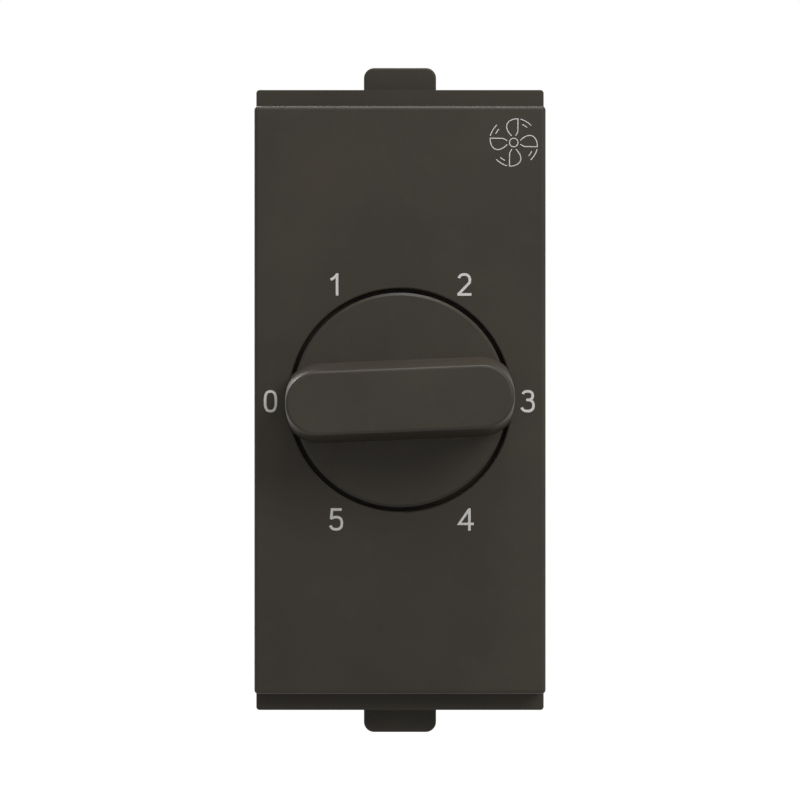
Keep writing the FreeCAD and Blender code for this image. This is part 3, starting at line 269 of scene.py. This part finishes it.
def glass_board():
    """Green solder mask over a woven laminate, which shows pale on the cut edges."""
    paint = Paint("glass_board", (0.03, 0.14, 0.06), 0.3)
    weave = paint.add("ShaderNodeTexWave", bands_direction="X")
    paint.feed(weave.inputs["Vector"], paint.place)
    weave.inputs["Scale"].default_value = WEAVE
    cross = paint.add("ShaderNodeTexWave", bands_direction="Z")
    paint.feed(cross.inputs["Vector"], paint.place)
    cross.inputs["Scale"].default_value = WEAVE
    cloth = paint.math("MULTIPLY", weave.outputs["Fac"], cross.outputs["Fac"])
    cloud = paint.noise(3 * MM, 3)
    mask = paint.mix(paint.span(cloud, 0.3, 0.7), (0.022, 0.11, 0.045, 1), (0.04, 0.17, 0.075, 1))
    mask = paint.mix(paint.math("MULTIPLY", cloth, 0.35), mask, (0.06, 0.22, 0.1, 1))
    face = paint.add("ShaderNodeSeparateXYZ")
    paint.feed(face.inputs[0], paint.add("ShaderNodeTexCoord").outputs["Normal"])
    flat = paint.span(paint.math("ABSOLUTE", face.outputs["Y"]), 0.45, 0.55)
    layers = paint.noise(0.5 * MM, 4, paint.stretched((1, 6, 1)))
    edge = paint.mix(paint.span(layers, 0.3, 0.7), (0.42, 0.38, 0.22, 1), (0.6, 0.56, 0.38, 1))
    paint.bump(cloth, 0.006 * MM)
    return paint.finish(paint.mix(flat, edge, mask), paint.span(flat, 0, 1, 0.65, 0.28))


def metal(name, color, roughness, stretch, stain, mottle=0.25):
    """Rolled, stamped or plated metal: drawn lines, tarnish patches, bright rubbed edges and painted
    shade in slots and corners.
    """
    paint = Paint(name, color, roughness, metallic=1.0)
    lines = paint.noise(0.35 * MM, 4, paint.stretched(stretch))
    patches = paint.noise(1.8 * MM, 4)
    worn = paint.edges(0.08 * MM)
    tone = paint.mix(paint.span(patches, 0.35, 0.7, 0, mottle), (*color, 1), (*stain, 1))
    bright = tuple(min(1.0, 1.2 * part + 0.03) for part in color)
    tone = paint.mix(paint.math("MULTIPLY", worn, 0.6), tone, (*bright, 1))
    # Painted shade: a dark copy of the stain colour laid deep in slots and corners by ambient occlusion
    painted_shade = tuple(0.3 * part for part in stain)
    tone = paint.mix(paint.math("MULTIPLY", paint.recess(0.5 * MM), 0.8), tone, (*painted_shade, 1))
    rough = paint.span(lines, 0.3, 0.7, roughness - 0.08, roughness + 0.1)
    rough = paint.math("ADD", rough, paint.span(patches, 0.4, 0.7, 0, 0.12))
    paint.bump(lines, 0.004 * MM)
    return paint.finish(tone, rough)


def capacitor_case():
    """Glossy moulded box with an orange-peel skin and a matt resin fill on the side of its leads."""
    paint = Paint("capacitor_case", (0.62, 0.4, 0.05), 0.28)
    peel = paint.noise(0.5 * MM, 2)
    cloud = paint.noise(4 * MM, 3)
    worn = paint.edges(0.12 * MM)
    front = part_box("capacitor_large")[0][1] + RESIN_DEPTH
    box = paint.mix(paint.span(cloud, 0.3, 0.7), (0.56, 0.35, 0.04, 1), (0.68, 0.45, 0.065, 1))
    box = paint.mix(paint.math("MULTIPLY", worn, 0.4), box, (0.8, 0.6, 0.16, 1))
    resin = paint.span(paint.axis("Y"), front, front + 0.05 * MM, 1, 0)
    tone = paint.mix(resin, box, (0.3, 0.2, 0.05, 1))
    paint.bump(peel, 0.012 * MM)
    return paint.finish(tone, paint.span(resin, 0, 1, 0.26, 0.5))


def banded_lacquer(name, color, node, bands):
    """Baked lacquer with painted rings across the body."""
    paint = Paint(name, color, 0.35)
    low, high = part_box(node)
    half = (high[0] - low[0]) / 2
    across = paint.math("ABSOLUTE", paint.math("DIVIDE", paint.axis("X"), half))
    cloud = paint.noise(0.8 * MM, 3)
    darker = tuple(0.7 * part for part in color)
    tone = paint.mix(paint.span(cloud, 0.3, 0.7), (*darker, 1), (*color, 1))
    for place, width, ring in bands:
        inside = paint.math("COMPARE", across, place, width)
        tone = paint.mix(inside, tone, (*ring, 1))
    paint.bump(paint.noise(0.25 * MM, 2), 0.006 * MM)
    return paint.finish(tone, paint.span(cloud, 0.3, 0.7, 0.28, 0.42))


def print_ink():
    """Pale pad-printed ink, slightly uneven."""
    paint = Paint("print_ink", (0.62, 0.61, 0.58), 0.55)
    uneven = paint.noise(0.12 * MM, 3)
    tone = paint.mix(paint.span(uneven, 0.3, 0.7), (0.56, 0.55, 0.52, 1), (0.75, 0.74, 0.71, 1))
    paint.bump(uneven, 0.003 * MM)
    return paint.finish(tone, paint.span(uneven, 0.3, 0.7, 0.5, 0.62))


DARK = (0.031, 0.0255, 0.0175)
FINISHES = {
    "cover_plastic": moulded_plastic("cover_plastic", DARK, 0.46, 0.06),
    "housing_plastic": moulded_plastic("housing_plastic", DARK, 0.5, 0.06),
    "knob_plastic": moulded_plastic("knob_plastic", DARK, 0.5, 0.03, 0.28),
    "rotor_plastic": acetal(),
    "switch_plastic": moulded_plastic("switch_plastic", (0.02, 0.02, 0.021), 0.42, 0.08),
    "phenolic_board": phenolic(),
    "glass_board": glass_board(),
    "contact_brass": metal("contact_brass", (0.78, 0.57, 0.26), 0.3, (0.2, 1, 1), (0.4, 0.24, 0.09)),
    "spring_bronze": metal("spring_bronze", (0.72, 0.44, 0.24), 0.3, (0.15, 1, 1), (0.36, 0.18, 0.09)),
    "spring_steel": metal("spring_steel", (0.56, 0.56, 0.56), 0.28, (0.12, 1, 1), (0.3, 0.27, 0.24)),
    "zinc_steel": metal("zinc_steel", (0.52, 0.54, 0.57), 0.36, (1, 1, 1), (0.42, 0.39, 0.29), 0.5),
    "capacitor_case": capacitor_case(),
    "green_lacquer": banded_lacquer("green_lacquer", (0.1, 0.22, 0.1), "surge_resistors", [
        (0.0, 0.05, (0.12, 0.04, 0.015)),
        (0.22, 0.05, (0.015, 0.015, 0.015)),
        (0.48, 0.05, (0.55, 0.34, 0.05)),
    ]),
    "blue_lacquer": banded_lacquer("blue_lacquer", (0.1, 0.26, 0.42), "bleed_resistors", [
        (0.0, 0.05, (0.5, 0.03, 0.02)),
        (0.2, 0.05, (0.3, 0.03, 0.25)),
        (0.42, 0.05, (0.55, 0.34, 0.05)),
    ]),
}
INK = print_ink()


def dress_nodes():
    """Each carried-over solid gets the finish of its own material slot."""
    slots = {part["node"]: part["material_slot"] for part in frame["record"]["subparts"]}
    for name, piece in frame["nodes"].items():
        for place in piece.material_slots:
            place.link = "OBJECT"
            place.material = FINISHES[slots[name]]


# Flat strokes
def ellipse(middle, across, up, start, end, steps=18, square=2.0):
    """Points on an ellipse from one angle to another, in degrees anticlockwise from the right.

    A square value over 2 makes its corners fuller.
    """

    def pulled(number):
        return math.copysign(abs(number) ** (2 / square), number)

    points = []
    for step in range(steps + 1):
        angle = math.radians(start + (end - start) * step / steps)
        points.append((
            middle[0] + across * pulled(math.cos(angle)),
            middle[1] + up * pulled(math.sin(angle)),
        ))
    return points


def curve(start, pull, push, end, steps=10):
    """Points on a cubic curve with two handles."""
    points = []
    for step in range(steps + 1):
        t = step / steps
        weights = ((1 - t) ** 3, 3 * t * (1 - t) ** 2, 3 * t * t * (1 - t), t ** 3)
        corners = (start, pull, push, end)
        points.append(tuple(sum(w * c[way] for w, c in zip(weights, corners)) for way in (0, 1)))
    return points


def stroke(mesh, points, width, closed=False, layer=0):
    """Adds a flat-topped bar along the points, which are x right and z up on the face.

    It stands up by the print's height. A line that crosses another lies a layer higher.
    """
    top = 1 + LAYER_RISE * layer
    count = len(points)
    spots = [Vector(point) for point in points]
    rows = []
    for step, spot in enumerate(spots):
        before = spots[(step - 1) % count] if closed or step else None
        after = spots[(step + 1) % count] if closed or step < count - 1 else None
        ways = [way.normalized() for way in (
            (spot - before) if before is not None else None,
            (after - spot) if after is not None else None,
        ) if way is not None]
        along = sum(ways, Vector((0, 0))).normalized()
        side = Vector((-along.y, along.x))
        reach = width / 2 / max(0.55, abs(side.dot(Vector((-ways[0].y, ways[0].x)))))
        row = []
        for hand, height in ((-1, STROKE_SINK), (1, STROKE_SINK), (1, top), (-1, top)):
            edge = spot + side * reach * hand
            row.append(mesh.verts.new((edge.x, FACE - PRINT_HEIGHT * height, edge.y)))
        rows.append(row)
    for step in range(count if closed else count - 1):
        first, second = rows[step], rows[(step + 1) % count]
        for corner in range(4):
            turn = (corner + 1) % 4
            mesh.faces.new((first[corner], first[turn], second[turn], second[corner]))
    if not closed:
        mesh.faces.new(rows[0][::-1])
        mesh.faces.new(rows[-1])


def new_piece(name, mesh, material, body):
    """Turns a mesh under construction into a piece that rides on a body."""
    bmesh.ops.recalc_face_normals(mesh, faces=mesh.faces)
    data = bpy.data.meshes.new(name)
    mesh.to_mesh(data)
    mesh.free()
    data.materials.append(material)
    piece = bpy.data.objects.new(name, data)
    bpy.context.scene.collection.objects.link(piece)
    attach(piece, body)
    return piece


# Centre lines of the figures, in a box 0.62 wide and 1 high
FIGURE_BOX = (0.62, 1.0)
FIGURES = {
    "0": [(ellipse((0.31, 0.5), 0.27, 0.49, 90, 450, 40, 2.7)[:-1], True)],
    "1": [
        (curve((0.06, 0.74), (0.17, 0.78), (0.28, 0.86), (0.36, 0.99), 6), False),
        ([(0.38, 1.055), (0.38, -0.055)], False),
    ],
    "2": [
        (ellipse((0.3, 0.72), 0.28, 0.28, 163, -28, 20, 2.3) + [(0.03, 0.03)], False),
        ([(-0.05, 0.0), (0.66, 0.0)], False),
    ],
    "3": [
        (ellipse((0.27, 0.785), 0.25, 0.215, 163, -90, 20, 2.4) + [(0.2, 0.57)], False),
        (ellipse((0.26, 0.29), 0.3, 0.28, 82, -163, 20, 2.4), False),
    ],
    "4": [
        ([(0.48, 1.055), (0.48, -0.055)], False),
        ([(0.46, 0.99), (-0.04, 0.28), (0.7, 0.28)], False),
    ],
    "5": [
        ([(0.57, 1.0), (0.09, 1.0), (0.04, 0.52)], False),
        ([(0.02, 0.54)] + ellipse((0.29, 0.315), 0.29, 0.305, 118, -163, 22, 2.5), False),
    ],
}


def figures():
    for figure, (across, up) in FIGURE_PLACES.items():
        mesh = bmesh.new()
        for layer, (line, closed) in enumerate(FIGURES[figure]):
            points = [(
                across * MM + (x - FIGURE_BOX[0] / 2) * FIGURE_HEIGHT,
                up * MM + (z - FIGURE_BOX[1] / 2) * FIGURE_HEIGHT,
            ) for x, z in line]
            stroke(mesh, points, FIGURE_STROKE, closed, layer)
        new_piece(f"figure_{figure}", mesh, INK, "case")


def fan_sign():
    """A small fan in outline: hub, four swept blades, and a pair of motion strokes between each two."""
    hub = 0.33
    straight = [(0.14, 0.5), (0.31, 0.8), (0.33, 1.8)]
    swept = curve((0.33, 1.8), (-0.3, 1.85), (-1.0, 1.35), (-0.16, 0.5), 14)[1:]
    outer = ellipse((0, 0), 1.86, 1.86, 74, 44, 8)
    inner = ellipse((0, 0), 1.53, 1.53, 64, 48, 6)
    lines = [straight + swept, outer, inner]
    mesh = bmesh.new()

    def place(point, turn):
        angle = math.radians(turn)
        x = point[0] * math.cos(angle) - point[1] * math.sin(angle)
        z = point[0] * math.sin(angle) + point[1] * math.cos(angle)
        return ((SIGN_MIDDLE[0] + x) * MM, (SIGN_MIDDLE[1] + z) * MM)

    for turn in range(0, 360, 90):
        for line in lines:
            stroke(mesh, [place(point, turn) for point in line], SIGN_LINE)
    ring = ellipse((0, 0), hub, hub, 0, 360, 20)[:-1]
    stroke(mesh, [place(point, 0) for point in ring], SIGN_LINE, True)
    new_piece("fan_sign", mesh, INK, "case")


def screw_thread(name):
    """A helical ridge round the clamp screw's shank."""
    low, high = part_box(f"terminal_screw_{name}")
    middle = ((low[0] + high[0]) / 2, (low[2] + high[2]) / 2)
    turns = int(THREAD_LENGTH / THREAD_PITCH)
    last = turns * THREAD_STEPS
    mesh = bmesh.new()
    rows = []
    for step in range(last + 1):
        angle = 2 * math.pi * step / THREAD_STEPS
        depth = low[1] + THREAD_START + THREAD_PITCH * step / THREAD_STEPS
        crest = THREAD_CREST * min(1, step / THREAD_STEPS, (last - step) / THREAD_STEPS)
        section = (
            (-THREAD_FOOT, THREAD_SINK),
            (-THREAD_FLAT, crest),
            (THREAD_FLAT, crest),
            (THREAD_FOOT, THREAD_SINK),
        )
        row = []
        for across, out in section:
            radius = THREAD_ROOT + out
            row.append(mesh.verts.new((
                middle[0] + radius * math.cos(angle),
                depth + across * THREAD_PITCH,
                middle[1] + radius * math.sin(angle),
            )))
        rows.append(row)
    for first, second in zip(rows, rows[1:]):
        for corner in range(4):
            turn = (corner + 1) % 4
            mesh.faces.new((first[corner], first[turn], second[turn], second[corner]))
    mesh.faces.new(rows[0][::-1])
    mesh.faces.new(rows[-1])
    new_piece(f"screw_thread_{name}", mesh, FINISHES["zinc_steel"], f"screw_{name}")


def studio():
    """Pale floor under the part, a plain bright surround and soft lamps."""
    scene = bpy.context.scene
    scene.view_settings.view_transform = "Standard"

    mesh = bmesh.new()
    bmesh.ops.create_grid(mesh, x_segments=1, y_segments=1, size=FLOOR_REACH)
    data = bpy.data.meshes.new("floor")
    mesh.to_mesh(data)
    mesh.free()
    floor = bpy.data.objects.new("floor", data)
    floor.location.z = cad_box[0][2] - FLOOR_DROP
    scene.collection.objects.link(floor)
    floor.data.materials.append(floor_paint())

    world = bpy.data.worlds.new("surround")
    scene.world = world
    world.use_nodes = True
    tree = world.node_tree
    strength = tree.nodes.new("ShaderNodeMapRange")
    tree.links.new(path_share(tree), strength.inputs["Value"])
    strength.inputs["To Min"].default_value = AMBIENT
    strength.inputs["To Max"].default_value = 1.0
    shine = tree.nodes["Background"]
    shine.inputs["Color"].default_value = WHITE
    tree.links.new(strength.outputs[0], shine.inputs["Strength"])

    for name, (place, size, watts) in LAMPS.items():
        lamp(name, place, size, watts)


def path_share(tree):
    """1 for rays from the camera and for mirrored or refracted ones, else 0."""
    path = tree.nodes.new("ShaderNodeLightPath")
    share = path.outputs["Is Camera Ray"]
    for name in ("Is Glossy Ray", "Is Transmission Ray"):
        either = tree.nodes.new("ShaderNodeMath")
        either.operation = "MAXIMUM"
        tree.links.new(share, either.inputs[0])
        tree.links.new(path.outputs[name], either.inputs[1])
        share = either.outputs[0]
    return share


def floor_paint():
    """Pale matt sheet, clear from below.

    To the camera it fades into the white surround, and its shadow stays near the part.
    """
    paint = Paint("pale_floor", (0.5, 0.5, 0.5), 0.9)
    seen = path_share(paint.tree)
    cloud = paint.noise(40 * MM, 2)
    tone = paint.mix(cloud, (0.92, 0.92, 0.92, 1), (0.95, 0.95, 0.95, 1))
    paint.finish(paint.mix(seen, FLOOR_BOUNCE, tone))
    away = paint.add("ShaderNodeVectorMath", operation="LENGTH")
    paint.feed(away.inputs[0], paint.place)
    fade = paint.span(away.outputs["Value"], *FLOOR_FADE, FLOOR_LEAST_GLOW, 1.0)
    glow = paint.add("ShaderNodeEmission")
    glow.inputs["Color"].default_value = WHITE
    blend = paint.add("ShaderNodeMixShader")
    paint.feed(blend.inputs[0], paint.math("MULTIPLY", seen, fade))
    paint.feed(blend.inputs[1], paint.shader.outputs[0])
    paint.feed(blend.inputs[2], glow.outputs[0])
    sided = paint.add("ShaderNodeMixShader")
    paint.feed(sided.inputs[0], paint.add("ShaderNodeNewGeometry").outputs["Backfacing"])
    paint.feed(sided.inputs[1], blend.outputs[0])
    paint.feed(sided.inputs[2], paint.add("ShaderNodeBsdfTransparent").outputs[0])
    paint.feed(paint.tree.nodes["Material Output"].inputs["Surface"], sided.outputs[0])
    return paint.material


def lamp(name, place, size, watts):
    data = bpy.data.lights.new(name, "AREA")
    data.shape = "DISK"
    data.size = size
    data.energy = watts
    light = bpy.data.objects.new(name, data)
    light.location = place
    light.rotation_euler = Vector(place).to_track_quat("Z", "Y").to_euler()
    bpy.context.scene.collection.objects.link(light)


def camera():
    data = bpy.data.cameras.new("camera")
    data.sensor_width = SENSOR
    data.lens = SENSOR * CAMERA_DISTANCE / VIEW_WIDTH
    data.clip_start = 0.01
    view = bpy.data.objects.new("camera", data)
    view.location = (0, FACE - CAMERA_DISTANCE, 0)
    view.rotation_euler = (math.pi / 2, 0, 0)
    bpy.context.scene.collection.objects.link(view)
    bpy.context.scene.camera = view


dress_nodes()
figures()
fan_sign()
for side in ("line", "load"):
    screw_thread(side)
studio()
camera()

bpy.context.view_layer.update()
